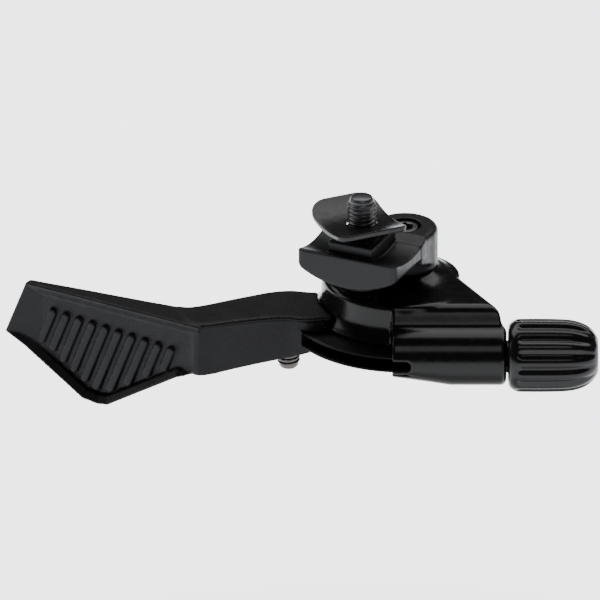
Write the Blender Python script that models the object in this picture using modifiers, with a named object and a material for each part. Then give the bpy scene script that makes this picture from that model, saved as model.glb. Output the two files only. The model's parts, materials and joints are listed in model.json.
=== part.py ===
"""Thumb lever for a handlebar-mounted cable remote, hung from a brake clamp.

Run in Blender 4.5. Lengths are in metres and +Z points up, at the handlebar.
The origin is the lowest line of the clamp saddle, on the clamp screw's axis.
+X runs along the cable barrel, out of the adjuster, and +Y is forward on the bike.
"""
import math

import bmesh
import bpy
from mathutils import Matrix, Vector

# ---------------------------------------------------------------- driving sizes
OBJECT_NAME = "thumb_lever_remote"
GAP = 0.0003                                  # between pieces that rest on each other
PIVOT = Vector((0.00725, 0.0071, -0.0170))    # pivot axis at the hub's underside
SPRING_TURNS = 2.5

# Heights above the hub's underside, along the pivot axis
HUB_TOP = 0.00276
DRUM_BOTTOM = 0.0031
DRUM_CEILING = 0.0075
DRUM_TOP = 0.0095
BOSS_TOP = 0.0110
EAR_TOP = 0.0184
SADDLE_Z = 0.0170
ARM_TOP = 0.00515

# Radii about the pivot axis
HUB_SECTOR_R = 0.0195
HUB_DISC_R = 0.0072
HUB_LEFT_R = 0.0133
GROOVE_R = 0.01575
DRUM_R = 0.0138
DRUM_FLARE_R = 0.0156
REAR_WALL_R = 0.0075
SPRING_CUP_R = 0.0064
SPRING_R = 0.0056
HUB_BOSS_R = 0.0048
AXLE_R = 0.0030
BUSH_R = 0.0040
BUSH_FLANGE_R = 0.0050
SECTOR_START = math.radians(135)
SECTOR_END = math.radians(285)
REAR_RIGHT = math.radians(27.6)
REAR_LEFT = math.radians(108.6)

# Cable barrel, with its axis along X
BARREL_Y = -0.0155
BARREL_Z = 0.001475
BARREL_R = 0.00495
BARREL_LEFT = -0.0022
BARREL_END = 0.0168
THREAD_BORE_R = 0.0032
THREAD_R = 0.0029
KNOB_R = 0.0061
KNOB_START = 0.0171
KNOB_END = 0.0321
KNOB_FLUTES = 14
FLUTE_DEPTH = 0.00045
SOCKET_R = 0.0023

# Clamp bracket, screw and nut, about the clamp screw's axis
BRACKET_TURN = math.radians(-25)
BRACKET_HALF_X = 0.0090
BRACKET_HALF_Y = 0.0063
SADDLE_R = 0.0170
UNDERSIDE_R = 0.0164
BRACKET_BOTTOM = 0.0123
LIP_TOP = 0.0180
KEY_SIZE = (0.0082, 0.0093)
KEY_TOP = 0.0197
EAR_AT = (0.00357, 0.0095)
EAR_R = 0.0055
SCREW_R = 0.0024
SCREW_TIP = 0.0267
NUT_TURN = math.radians(25)
NUT_BAR_R = 0.0200
NUT_VALLEY = 0.0221
NUT_THICK = 0.00095
NUT_X = (-0.0067, 0.0053)                     # the plate's ends, along its bend axis
NUT_Y = (-0.0070, 0.0080)

# Arm and paddle: slopes of the two upright faces in plan
BEND = Vector((-0.0345, -0.0123))
FACE_SLOPE = -0.6458
BACK_AT = Vector((-0.0355, -0.0050))
BACK_SLOPE = -0.467
RIBS = 10
RIB_PITCH = 0.00221
RIB_WIDTH = 0.0014
RIB_FIRST_X = -0.0594
RIB_LOW_Z = (-0.0054, -0.0064, -0.0080, -0.0092, -0.0105, -0.0114, -0.0111, -0.0090, -0.0065, -0.0045)
RIB_SLANT = 0.34
SET_SCREW_AT = (-0.0194, -0.0048)

# Colours: base colour, roughness, metallic
BLACK_PAINT = ((0.010, 0.010, 0.011), 0.22, 0.0)
SATIN_CAST = ((0.022, 0.022, 0.024), 0.50, 0.0)
DARK_ANODISED = ((0.045, 0.045, 0.050), 0.38, 0.6)
BLACK_OXIDE = ((0.060, 0.060, 0.064), 0.42, 0.8)
KNOB_PLASTIC = ((0.012, 0.012, 0.013), 0.30, 0.0)
BARE_STEEL = ((0.55, 0.51, 0.46), 0.30, 1.0)
SPRING_STEEL = ((0.30, 0.30, 0.31), 0.35, 1.0)
BUSH_POLYMER = ((0.030, 0.030, 0.032), 0.60, 0.0)


# ---------------------------------------------------------------- scene helpers
def clear_scene():
    for old in list(bpy.data.objects):
        bpy.data.objects.remove(old)


def make_collection(name):
    collection = bpy.data.collections.new(name)
    bpy.context.scene.collection.children.link(collection)
    return collection


def make_empty(name, location, turn=0.0):
    empty = bpy.data.objects.new(name, None)
    empty.location = location
    empty.rotation_euler = (0, 0, turn)
    PARTS.objects.link(empty)
    return empty


def make_material(name, finish):
    colour, roughness, metallic = finish
    material = bpy.data.materials.new(name)
    material.use_nodes = True
    shader = material.node_tree.nodes["Principled BSDF"]
    shader.inputs["Base Color"].default_value = (*colour, 1.0)
    shader.inputs["Roughness"].default_value = roughness
    shader.inputs["Metallic"].default_value = metallic
    return material


def add_object(name, mesh, parent):
    """Links a mesh as a cutter or an operand; show_part turns it into a sub-part."""
    thing = bpy.data.objects.new(name, mesh)
    CUTTERS.objects.link(thing)
    thing.hide_render = True
    thing.display_type = "WIRE"
    thing.parent = parent
    return thing


def show_part(thing, finish):
    """Moves an object out of the cutters and gives it its material."""
    CUTTERS.objects.unlink(thing)
    PARTS.objects.link(thing)
    thing.hide_render = False
    thing.display_type = "TEXTURED"
    thing.data.materials.clear()
    thing.data.materials.append(make_material(thing.name + "_finish", finish))
    thing.data.shade_smooth()
    thing.data.set_sharp_from_angle(angle=math.radians(30))
    return thing


def boolean(target, other, operation):
    modifier = target.modifiers.new(operation.lower(), "BOOLEAN")
    modifier.operation = operation
    modifier.object = other
    modifier.solver = "EXACT"


def cut(target, *cutters):
    for cutter in cutters:
        boolean(target, cutter, "DIFFERENCE")


def join(target, *others):
    for other in others:
        boolean(target, other, "UNION")


# ---------------------------------------------------------------- shape helpers
def mesh_from(name, builder):
    mesh = bpy.data.meshes.new(name)
    work = bmesh.new()
    builder(work)
    bmesh.ops.recalc_face_normals(work, faces=work.faces)
    work.to_mesh(mesh)
    work.free()
    return mesh


def cylinder(name, parent, radius, low, high, at=(0, 0), segments=32, axis="Z"):
    """A round bar from low to high along Z, or along X with at giving (y, z)."""
    def build(work):
        bmesh.ops.create_cone(work, cap_ends=True, segments=segments, radius1=radius,
                              radius2=radius, depth=high - low)
        middle = (low + high) / 2
        if axis == "Z":
            place = Matrix.Translation((at[0], at[1], middle))
        else:
            place = Matrix.Translation((middle, at[0], at[1])) @ Matrix.Rotation(math.pi / 2, 4, "Y")
        bmesh.ops.transform(work, matrix=place, verts=work.verts)
    return add_object(name, mesh_from(name, build), parent)


def block(name, parent, low, high):
    """A box between two corners."""
    size = Vector(high) - Vector(low)
    middle = (Vector(high) + Vector(low)) / 2

    def build(work):
        bmesh.ops.create_cube(work, size=1.0)
        bmesh.ops.scale(work, vec=size, verts=work.verts)
        bmesh.ops.translate(work, vec=middle, verts=work.verts)
    return add_object(name, mesh_from(name, build), parent)


def turned(name, parent, profile, segments=40, axis="Z", at=(0, 0, 0)):
    """A profile of (radius, height) pairs, top to bottom, spun about its axis."""
    mesh = bpy.data.meshes.new(name)
    points = [(radius, 0, height) for radius, height in profile]
    edges = [(i, i + 1) for i in range(len(points) - 1)]
    closed = profile[0][0] > 0
    if closed:
        edges.append((len(points) - 1, 0))
    mesh.from_pydata(points, edges, [])
    thing = add_object(name, mesh, parent)
    thing.location = at
    if axis == "X":
        thing.rotation_euler = (0, math.pi / 2, 0)
    spin = thing.modifiers.new("turn", "SCREW")
    spin.steps = segments
    spin.render_steps = segments
    spin.use_merge_vertices = True
    spin.merge_threshold = 0.00001
    return thing


def ring(name, parent, outer, inner, low, high, segments=32, axis="Z", at=(0, 0, 0)):
    """A plain washer, sleeve or tube."""
    profile = [(outer, high), (outer, low), (inner, low), (inner, high)]
    return turned(name, parent, profile, segments, axis, at)


def loft(name, parent, rings):
    """Closed skin through rings of points that match one to one, with flat ends."""
    def build(work):
        rows = [[work.verts.new(point) for point in loop] for loop in rings]
        count = len(rows[0])
        for near, far in zip(rows, rows[1:]):
            for i in range(count):
                j = (i + 1) % count
                work.faces.new((near[i], near[j], far[j], far[i]))
        work.faces.new(reversed(rows[0]))
        work.faces.new(rows[-1])
    return add_object(name, mesh_from(name, build), parent)


def prism(name, parent, outline, low, high):
    """An upright block with the same outline at both ends."""
    return loft(name, parent, [[(x, y, z) for x, y in outline] for z in (low, high)])


def arc_points(radius, start, end, steps, centre=(0, 0)):
    return [(centre[0] + radius * math.cos(start + (end - start) * i / steps),
             centre[1] + radius * math.sin(start + (end - start) * i / steps))
            for i in range(steps + 1)]


def sector_outline(radius, start, end, steps=20):
    """Pie slice about the pivot, with its point pulled back past the axis."""
    middle = (start + end) / 2
    tip = (-0.002 * math.cos(middle), -0.002 * math.sin(middle))
    return arc_points(radius, start, end, steps) + [tip]


def wire_mesh(name, parent, points, radius):
    """A wire along points as a closed mesh."""
    curve = bpy.data.curves.new(name, "CURVE")
    curve.dimensions = "3D"
    curve.bevel_depth = radius
    curve.bevel_resolution = 2
    curve.use_fill_caps = True
    spline = curve.splines.new("POLY")
    spline.points.add(len(points) - 1)
    for spot, point in zip(spline.points, points):
        spot.co = (*point, 1.0)
    carrier = bpy.data.objects.new(name + "_curve", curve)
    CUTTERS.objects.link(carrier)
    carrier.parent = parent
    graph = bpy.context.evaluated_depsgraph_get()
    mesh = bpy.data.meshes.new_from_object(carrier.evaluated_get(graph))
    bpy.data.objects.remove(carrier)
    work = bmesh.new()
    work.from_mesh(mesh)
    bmesh.ops.remove_doubles(work, verts=work.verts, dist=0.00001)
    bmesh.ops.recalc_face_normals(work, faces=work.faces)
    work.to_mesh(mesh)
    work.free()
    return add_object(name, mesh, parent)


# ---------------------------------------------------------------- lever body
def drum_solid():
    profile = [(0, BOSS_TOP), (0.0052, BOSS_TOP), (0.0056, BOSS_TOP - 0.0004),
               (0.0063, DRUM_TOP + 0.0006), (0.0078, DRUM_TOP), (0.0132, DRUM_TOP),
               (DRUM_R, DRUM_TOP - 0.0006), (0.0140, 0.0058), (0.0145, 0.0044),
               (DRUM_FLARE_R, DRUM_BOTTOM + 0.0004), (DRUM_FLARE_R, DRUM_BOTTOM), (0, DRUM_BOTTOM)]
    drum = turned("lever_body", ON_PIVOT, profile, 44)
    outline = arc_points(0.0165, math.radians(167), math.radians(300), 20)
    outline += arc_points(REAR_WALL_R, REAR_RIGHT, REAR_LEFT, 8)
    boolean(drum, prism("drum_plan", ON_PIVOT, outline, 0.0, 0.0125), "INTERSECT")
    return drum


def web_solid():
    """Top plate between drum and barrel, with its steep front wall."""
    levels = [(0.0095, -0.0135, 0.0154, 0.0070, 0.0029, -0.0008),
              (0.0088, -0.0140, 0.0160, 0.0074, 0.0031, -0.0018),
              (0.0064, -0.0156, 0.0164, 0.0078, 0.0033, BARREL_LEFT),
              (0.0015, -0.0160, 0.0164, 0.0080, 0.0035, BARREL_LEFT)]
    rings = [[(left, front, z), (right, front, z), (rear_x, rear_y, z), (left, rear_y, z)]
             for z, front, right, rear_x, rear_y, left in levels]
    return loft("web_solid", ON_PIVOT, rings)


def barrel_solid():
    """Round cable barrel whose underside tapers up towards the hub."""
    stations = [(BARREL_LEFT, 1.0, 0.0032), (0.0030, 1.0, 0.0044), (0.0075, 1.0, BARREL_R),
                (0.0163, 1.0, BARREL_R), (BARREL_END, 0.90, 0.90 * BARREL_R)]
    rings = []
    for x, scale, depth in stations:
        loop = []
        for i in range(28):
            angle = math.tau * i / 28
            height = BARREL_R * scale if math.sin(angle) > 0 else depth
            loop.append((x, BARREL_Y + BARREL_R * scale * math.cos(angle),
                         BARREL_Z + height * math.sin(angle)))
        rings.append(loop)
    return loft("barrel_solid", ON_PIVOT, rings)


def make_lever_body():
    body = drum_solid()
    join(body, web_solid(), barrel_solid())
    pocket_low = -0.00035
    cut(body,
        cylinder("cup_cutter", ON_PIVOT, SPRING_CUP_R, 0.0, DRUM_CEILING, segments=36),
        cylinder("hub_disc_cutter", ON_PIVOT, HUB_DISC_R + 0.0004, pocket_low, DRUM_BOTTOM + 0.00001, segments=44),
        prism("hub_sector_cutter", ON_PIVOT,
              sector_outline(HUB_SECTOR_R + GAP, SECTOR_START, SECTOR_END + math.radians(1.6), 28),
              pocket_low, DRUM_BOTTOM + 0.00001),
        cylinder("axle_hole_cutter", ON_PIVOT, AXLE_R + 0.0002, 0.006, 0.012),
        cylinder("thread_bore_cutter", ON_PIVOT, THREAD_BORE_R, 0.0076, 0.018,
                 at=(BARREL_Y, BARREL_Z), segments=24, axis="X"),
        cylinder("cable_way_cutter", ON_PIVOT, 0.0012, 0.002, 0.009,
                 at=(BARREL_Y, BARREL_Z), segments=12, axis="X"),
        cylinder("screw_access_cutter", ON_PIVOT, 0.0023, 0.0, 0.0105,
                 at=(-PIVOT.x, -PIVOT.y), segments=24),
        slot_cutter(),
        spring_slot_cutter("spring_hole_cutter", 0.006, 0.0088))
    return show_part(body, BLACK_PAINT)


def slot_cutter():
    """Round-ended slot in the barrel's left end, where the groove runs in."""
    half = 0.0009
    outline = arc_points(half, math.radians(90), math.radians(-90), 8, (0.0, BARREL_Z))
    outline += [(-0.0030, BARREL_Z - half), (-0.0030, BARREL_Z + half)]
    rings = [[(x, y, z) for x, z in outline] for y in (-0.0215, -0.0180)]
    return loft("slot_cutter", ON_PIVOT, rings)


def spring_slot_cutter(name, low, high):
    """Small round hole that takes the upper spring leg."""
    return cylinder(name, ON_PIVOT, 0.0008, low, high, at=(0.0, SPRING_R), segments=12)


# ---------------------------------------------------------------- pivot group
def make_pivot_group():
    sleeve = ring("pivot_axle", ON_PIVOT, AXLE_R, 0.0019, -0.0004, BOSS_TOP - 0.0002, 28)
    show_part(sleeve, SPRING_STEEL)

    bolt_profile = [(0, 0.0180), (0.0020, 0.0180), (0.0022, 0.0178), (0.0022, 0.0168),
                    (0.0015, 0.0168), (0.0015, -0.0036), (0.0012, -0.0040), (0, -0.0040)]
    bolt = turned("pivot_bolt", ON_PIVOT, bolt_profile, 24)
    cut(bolt, cylinder("pivot_socket_cutter", ON_PIVOT, 0.00144, 0.0166, 0.0185, segments=6))
    show_part(bolt, BLACK_OXIDE)

    show_part(ring("pivot_bolt_washer", ON_PIVOT, 0.0024, 0.0017, 0.0162, 0.0166, 24), BLACK_OXIDE)

    nut_profile = [(0.0046, -0.0009), (0.0050, -0.0013), (0.0050, -0.0024), (0.0046, -0.0030),
                   (0.0018, -0.0030), (0.0018, -0.0009)]
    nut = turned("pivot_nut", ON_PIVOT, nut_profile, 28)
    cut(nut, block("nut_slot_cutter", ON_PIVOT, (-0.006, -0.0005, -0.004), (-0.0032, 0.0005, -0.0022)),
        block("nut_slot_cutter_2", ON_PIVOT, (0.0032, -0.0005, -0.004), (0.006, 0.0005, -0.0022)))
    show_part(nut, BLACK_OXIDE)

    show_part(ring("lower_thrust_washer", ON_PIVOT, 0.0052, 0.0033, -0.0006, -0.0003, 28), SPRING_STEEL)
    lower = [(BUSH_R, 0.0030), (BUSH_R, 0.0004), (BUSH_FLANGE_R, 0.0004), (BUSH_FLANGE_R, 0.0),
             (0.0032, 0.0), (0.0032, 0.0030)]
    show_part(turned("lower_bush", ON_PIVOT, lower, 28), BUSH_POLYMER)
    upper = [(0.0046, 0.0069), (0.0046, 0.0065), (BUSH_R, 0.0065), (BUSH_R, 0.0034),
             (0.0032, 0.0034), (0.0032, 0.0069)]
    show_part(turned("upper_bush", ON_PIVOT, upper, 28), BUSH_POLYMER)
    show_part(ring("upper_thrust_washer", ON_PIVOT, 0.0046, 0.0032, 0.0070, 0.0073, 28), SPRING_STEEL)


def make_return_spring():
    """Torsion spring round the hub boss, with one leg up into the body and one down."""
    mean, wire = SPRING_R, 0.0004
    low, high = 0.0034, 0.0066
    turns = SPRING_TURNS
    steps = int(turns * 18)
    start = math.radians(90) - turns * math.tau
    points = [(mean * math.cos(start + math.tau * turns * i / steps),
               mean * math.sin(start + math.tau * turns * i / steps),
               low + (high - low) * i / steps) for i in range(steps + 1)]
    points.append((points[-1][0], points[-1][1], high + 0.0010))
    points.append((points[-1][0], points[-1][1], high + 0.0020))
    first = points[0]
    points.insert(0, (first[0], first[1], low - 0.0012))
    points.insert(0, (first[0], first[1], low - 0.0022))
    show_part(wire_mesh("return_spring", ON_PIVOT, points, wire), SPRING_STEEL)


# ---------------------------------------------------------------- lever arm
def face_y(x):
    """Plan line of the top front edge of the paddle."""
    return BEND.y + FACE_SLOPE * (x - BEND.x)


def back_y(x):
    return BACK_AT.y + BACK_SLOPE * (x - BACK_AT.x)


def arm_stations():
    """Front edge, back edge, top, underside, undercut depth and height, lower tilt."""
    stations = []
    paddle = [(-0.0635, -0.0671, 0.0047, -0.0054), (-0.0612, -0.0638, 0.0047, -0.0072),
              (-0.0530, -0.0541, 0.0049, -0.0140), (-0.0510, -0.0516, 0.0049, -0.0143),
              (-0.0495, -0.0499, 0.0050, -0.0140), (-0.0384, -0.0382, 0.0051, -0.0053),
              (-0.0365, -0.0365, 0.0051, -0.0047)]
    for top_x, low_x, top, low in paddle:
        flat = 1.0 if low < -0.0052 else 0.0
        stations.append((Vector((top_x, face_y(top_x))), Vector((low_x, face_y(low_x))),
                         Vector((top_x, back_y(top_x))), Vector((low_x, back_y(low_x))),
                         top, low, 0.0010, 0.0019, 0.0009 * flat))
    arm = [((-0.0345, -0.0123), (-0.0355, -0.0050), 0.0047, 0.0008, 0.0014),
           ((-0.0275, -0.0099), (-0.0275, -0.0008), 0.00385, 0.0006, 0.0010),
           ((-0.0200, -0.0083), (-0.0203, 0.0024), 0.00285, 0.0005, 0.0009),
           ((-0.0170, -0.0095), (-0.0153, 0.0012), 0.00165, 0.0004, 0.0008),
           ((-0.0120, -0.0085), (-0.0105, 0.0010), 0.00020, 0.0004, 0.0008)]
    for front, back, drop, undercut, height in arm:
        stations.append((Vector(front), Vector(front), Vector(back), Vector(back),
                         ARM_TOP, -drop, undercut, height, 0.0))
    return stations


def arm_solid():
    rings = []
    for front, front_low, back, back_low, top, low, undercut, height, tilt in arm_stations():
        inward = (back - front).normalized()
        inward_low = (back_low - front_low).normalized()

        def at(z, depth):
            share = (top - z) / (top - low)
            line = front.lerp(front_low, share)
            spot = line + inward.lerp(inward_low, share) * depth
            return (spot.x, spot.y, z)
        knee = low + (top - low) * 0.33
        rings.append([(back.x, back.y, top), (front.x, front.y, top), at(top - 0.0004, 0.0),
                      at(top - height, undercut), at(knee, undercut),
                      at(low + 0.0006, undercut + tilt), at(low + 0.0002, undercut * 0.75),
                      at(low, undercut), (back_low.x, back_low.y, low)])
    return loft("lever_arm", ON_PIVOT, rings)


def rib_solid(index):
    """One slanted grip rib, square in section with chamfered top, round at both ends."""
    x_top = RIB_FIRST_X + RIB_PITCH * index
    z_top = -0.0001 - 0.00012 * index
    z_low = RIB_LOW_Z[index]
    along = Vector((RIB_SLANT, 1.0)).normalized()
    start, end = Vector((x_top, z_top)), Vector((x_top + RIB_SLANT * (z_low - z_top), z_low))
    tilt = math.atan2(along.y, along.x)
    half = RIB_WIDTH / 2
    outline = arc_points(half, tilt - math.pi / 2, tilt + math.pi / 2, 4, start)
    outline += arc_points(half, tilt + math.pi / 2, tilt + 3 * math.pi / 2, 4, end)
    middle = (start + end) / 2
    rings = []
    for depth, inset in ((0.0022, 0.0), (0.0008, 0.0), (0.00045, 0.00025)):
        loop = []
        for x, z in outline:
            away = Vector((x, z)) - middle
            across = away - along * away.dot(along)
            pulled = Vector((x, z)) - across * (inset / half)
            loop.append((pulled.x, face_y(pulled.x) + depth, pulled.y))
        rings.append(loop)
    return loft(f"rib_{index}", ON_PIVOT, rings)


def make_lever_arm():
    arm = arm_solid()
    boss = [(0, 0.0062), (HUB_BOSS_R, 0.0062), (HUB_BOSS_R, HUB_TOP), (HUB_DISC_R, HUB_TOP),
            (HUB_DISC_R, 0), (0, 0)]
    join(arm,
         turned("hub_disc", ON_PIVOT, boss, 40),
         prism("hub_left", ON_PIVOT,
               sector_outline(HUB_LEFT_R, math.radians(165), math.radians(215), 8), 0.0, HUB_TOP),
         prism("hub_sector", ON_PIVOT,
               sector_outline(HUB_SECTOR_R, math.radians(195), SECTOR_END, 18), 0.0, HUB_TOP))
    join(arm, *[rib_solid(i) for i in range(RIBS)])
    groove = [(0.0215, BARREL_Z + 0.0011), (0.0215, BARREL_Z - 0.0011),
              (GROOVE_R, BARREL_Z - 0.0006), (GROOVE_R, BARREL_Z + 0.0006)]
    groove_cutter = turned("groove_cutter", ON_PIVOT, groove, 72)
    boolean(groove_cutter, prism("groove_span", ON_PIVOT,
            sector_outline(0.024, math.radians(208), math.radians(300), 12), 0.0, 0.003), "INTERSECT")
    drum_room = turned("drum_room_cutter", ON_PIVOT,
                       [(0, 0.0070), (0.0146, 0.0070), (0.0146, 0.0053), (0.0151, 0.0044), (0.0161, 0.0035),
                        (0.0161, HUB_TOP + 0.0001), (0, HUB_TOP + 0.0001)], 44)
    boss_keep = cylinder("boss_keep", ON_PIVOT, HUB_BOSS_R + 0.0001, 0.001, 0.0068, segments=40)
    cut(drum_room, boss_keep)
    cut(arm, groove_cutter, drum_room,
        turned("bush_bore_cutter", ON_PIVOT,
               [(0, 0.0070), (BUSH_R + 0.0002, 0.0070), (BUSH_R + 0.0002, 0.0006),
                (BUSH_FLANGE_R + 0.0003, 0.0006), (BUSH_FLANGE_R + 0.0003, -0.0010), (0, -0.0010)], 32),
        cylinder("set_screw_cutter", ON_PIVOT, 0.0022, -0.0045, 0.0042, at=SET_SCREW_AT, segments=20),
        cylinder("hub_access_cutter", ON_PIVOT, 0.0024, -0.001, 0.004,
                 at=(-PIVOT.x, -PIVOT.y), segments=24),
        cylinder("leg_hole_cutter", ON_PIVOT, 0.0008, 0.0006, 0.004, at=leg_at(), segments=12),
        cable_hole_cutter())
    return show_part(arm, SATIN_CAST)


def leg_at():
    """Plan position of the spring's lower leg."""
    angle = math.radians(90) - SPRING_TURNS * math.tau
    return (SPRING_R * math.cos(angle), SPRING_R * math.sin(angle))


def cable_hole_cutter():
    """Way for the cable from the groove's end to the set screw."""
    way = cylinder("cable_hole_cutter", ON_PIVOT, 0.0008, -0.0065, 0.0045,
                   at=(0, 0), segments=12, axis="X")
    way.location = (SET_SCREW_AT[0], SET_SCREW_AT[1], BARREL_Z)
    way.rotation_euler = (0, 0, math.radians(-38))
    return way


def make_set_screw():
    profile = [(0, 0.0022), (0.0015, 0.0022), (0.0019, 0.0018), (0.0019, -0.0051),
               (0.0016, -0.0055), (0, -0.0055)]
    low_end = turned("cable_set_screw", ON_PIVOT, profile, 20, at=(*SET_SCREW_AT, 0))
    cut(low_end, cylinder("set_screw_socket", ON_PIVOT, 0.00115, -0.0070, -0.0035,
                          at=SET_SCREW_AT, segments=6))
    show_part(low_end, BARE_STEEL)


# ---------------------------------------------------------------- cable adjuster
def knob_radius(x):
    """Outer radius of the knob at x, without its flutes."""
    profile = [(0.0169, 0.0049), (0.0174, 0.0055), (0.0184, 0.0060), (0.0190, KNOB_R),
               (0.0250, 0.0061), (0.0280, 0.0059), (0.0300, 0.0052), (0.0313, 0.0042),
               (KNOB_END, 0.0029)]
    for (x0, r0), (x1, r1) in zip(profile, profile[1:]):
        if x0 <= x <= x1:
            return r0 + (r1 - r0) * (x - x0) / (x1 - x0)
    return profile[-1][1]


def make_knob():
    stations = [KNOB_START, 0.0176, 0.0184, 0.0190, 0.0197, 0.0250, 0.0280, 0.0292, 0.0302, 0.0313, KNOB_END]
    fluted = {0.0197: 1.0, 0.0250: 1.0, 0.0280: 0.9, 0.0292: 0.7, 0.0302: 0.35}
    points_a_flute = 6
    count = KNOB_FLUTES * points_a_flute
    rings = []
    for x in stations:
        loop = []
        for i in range(count):
            wave = max(0.0, math.cos(math.tau * i / points_a_flute))
            radius = knob_radius(x) - FLUTE_DEPTH * fluted.get(x, 0.0) * wave
            angle = math.tau * i / count
            loop.append((x, BARREL_Y + radius * math.cos(angle), BARREL_Z + radius * math.sin(angle)))
        rings.append(loop)
    knob = loft("adjuster_knob", ON_PIVOT, rings)
    bore = [(0, 0.0330), (SOCKET_R, 0.0330), (SOCKET_R, 0.0305), (0.0042, 0.0300), (0.0042, 0.0165), (0, 0.0165)]
    cut(knob, turned("knob_bore_cutter", ON_PIVOT, bore, 32, "X", (0, BARREL_Y, BARREL_Z)))
    show_part(knob, KNOB_PLASTIC)


def make_barrel_bolt():
    """Hollow threaded bolt that carries the cable housing, with a head in the knob."""
    profile = [(0.0039, 0.0297), (0.0039, 0.0252), (THREAD_R, 0.0252), (THREAD_R, 0.0083),
               (0.0026, 0.0080), (0.0010, 0.0080), (0.0010, 0.0258), (SOCKET_R, 0.0258),
               (SOCKET_R, 0.0297)]
    show_part(turned("adjuster_barrel", ON_PIVOT, profile, 28, "X", (0, BARREL_Y, BARREL_Z)), BLACK_OXIDE)


def make_detent():
    """Click ring that rides on the barrel bolt, and the spring that holds it to the body."""
    detent = ring("detent_ring", ON_PIVOT, 0.0039, 0.0032, 0.0171, 0.0189, 28, "X", (0, BARREL_Y, BARREL_Z))
    show_part(detent, BUSH_POLYMER)
    turns, mean, wire = 4, 0.00355, 0.00022
    low, high = 0.0194, 0.0247
    steps = turns * 16
    points = [(low + (high - low) * i / steps,
               BARREL_Y + mean * math.cos(math.tau * turns * i / steps),
               BARREL_Z + mean * math.sin(math.tau * turns * i / steps)) for i in range(steps + 1)]
    show_part(wire_mesh("detent_spring", ON_PIVOT, points, wire), SPRING_STEEL)


# ---------------------------------------------------------------- clamp bracket
def bracket_block():
    """Saddle block: an arched underside along its length, a hollow top across it."""
    half_stations = (0.0025, 0.0050, 0.0070, 0.0086, BRACKET_HALF_X)
    rings = []
    for x in [-x for x in reversed(half_stations)] + [0.0] + list(half_stations):
        half = BRACKET_HALF_Y - (0.0004 if abs(x) == BRACKET_HALF_X else 0.0)
        arch = UNDERSIDE_R - math.sqrt(UNDERSIDE_R ** 2 - x ** 2)
        low = BRACKET_BOTTOM + arch - SADDLE_Z
        top = [(half * (1 - 2 * i / 10)) for i in range(11)]
        loop = [(x, half, low), (x, half - 0.0001, LIP_TOP - SADDLE_Z - 0.0004)]
        loop += [(x, y, saddle_height(y)) for y in top[1:-1]]
        loop += [(x, -half + 0.0001, LIP_TOP - SADDLE_Z - 0.0004), (x, -half, low)]
        rings.append(loop)
    return loft("clamp_bracket", ON_CLAMP, rings)


def saddle_height(y):
    return SADDLE_R - math.sqrt(SADDLE_R ** 2 - y ** 2)


def make_bracket():
    bracket = bracket_block()
    ear_low = BOSS_TOP + GAP - SADDLE_Z
    ear_top = EAR_TOP - SADDLE_Z
    ear = turned("ear", ON_CLAMP, [(0, ear_top), (0.0045, ear_top), (0.0052, ear_top - 0.0003),
                                   (EAR_R, ear_top - 0.0010), (EAR_R, ear_low), (0, ear_low)],
                 36, at=(*EAR_AT, 0))
    neck = prism("ear_neck", ON_CLAMP, [(-0.0019, 0.0050), (0.0089, 0.0050), (0.0089, 0.0093),
                                        (-0.0019, 0.0093)], -0.0041, 0.0012)
    half_x, half_y = KEY_SIZE[0] / 2, KEY_SIZE[1] / 2
    key = block("key", ON_CLAMP, (-half_x, -half_y, -0.0010), (half_x, half_y, KEY_TOP - SADDLE_Z))
    join(bracket, ear, neck, key)
    key_top = KEY_TOP - SADDLE_Z
    cut(bracket,
        turned("screw_hole_cutter", ON_CLAMP,
               [(0, 0.0040), (0.0036, 0.0040), (0.0036, key_top - 0.0010), (0.0028, key_top - 0.0010),
                (0.0028, -0.0024), (0.0045, -0.0024), (0.0045, -0.0070), (0, -0.0070)], 32),
        turned("ear_hole_cutter", ON_CLAMP, [(0, 0.0022), (0.0027, 0.0022), (0.0027, -0.0010),
                                             (0.0018, -0.0010), (0.0018, -0.0070), (0, -0.0070)],
               28, at=(*EAR_AT, 0)))
    show_part(bracket, DARK_ANODISED)


def make_clamp_screw():
    head_low, head_top = -0.0060, -0.0032
    tip = SCREW_TIP - SADDLE_Z
    profile = [(0, tip), (0.0017, tip), (0.0022, tip - 0.0009), (SCREW_R, tip - 0.0013),
               (SCREW_R, head_top), (0.0041, head_top), (0.0041, head_low + 0.0003),
               (0.0038, head_low), (0, head_low)]
    screw = turned("clamp_screw", ON_CLAMP, profile, 28)
    cut(screw, cylinder("clamp_screw_socket", ON_CLAMP, 0.0023, -0.0070, head_top - 0.0008, segments=6))
    show_part(screw, BLACK_OXIDE)
    show_part(ring("clamp_screw_washer", ON_CLAMP, 0.0042, 0.0027, -0.0030, -0.0026, 28), BLACK_OXIDE)
    key_top = KEY_TOP - SADDLE_Z
    show_part(ring("screw_retaining_ring", ON_CLAMP, 0.0034, 0.0026, key_top - 0.0008, key_top - 0.0002, 28),
              BUSH_POLYMER)


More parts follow.
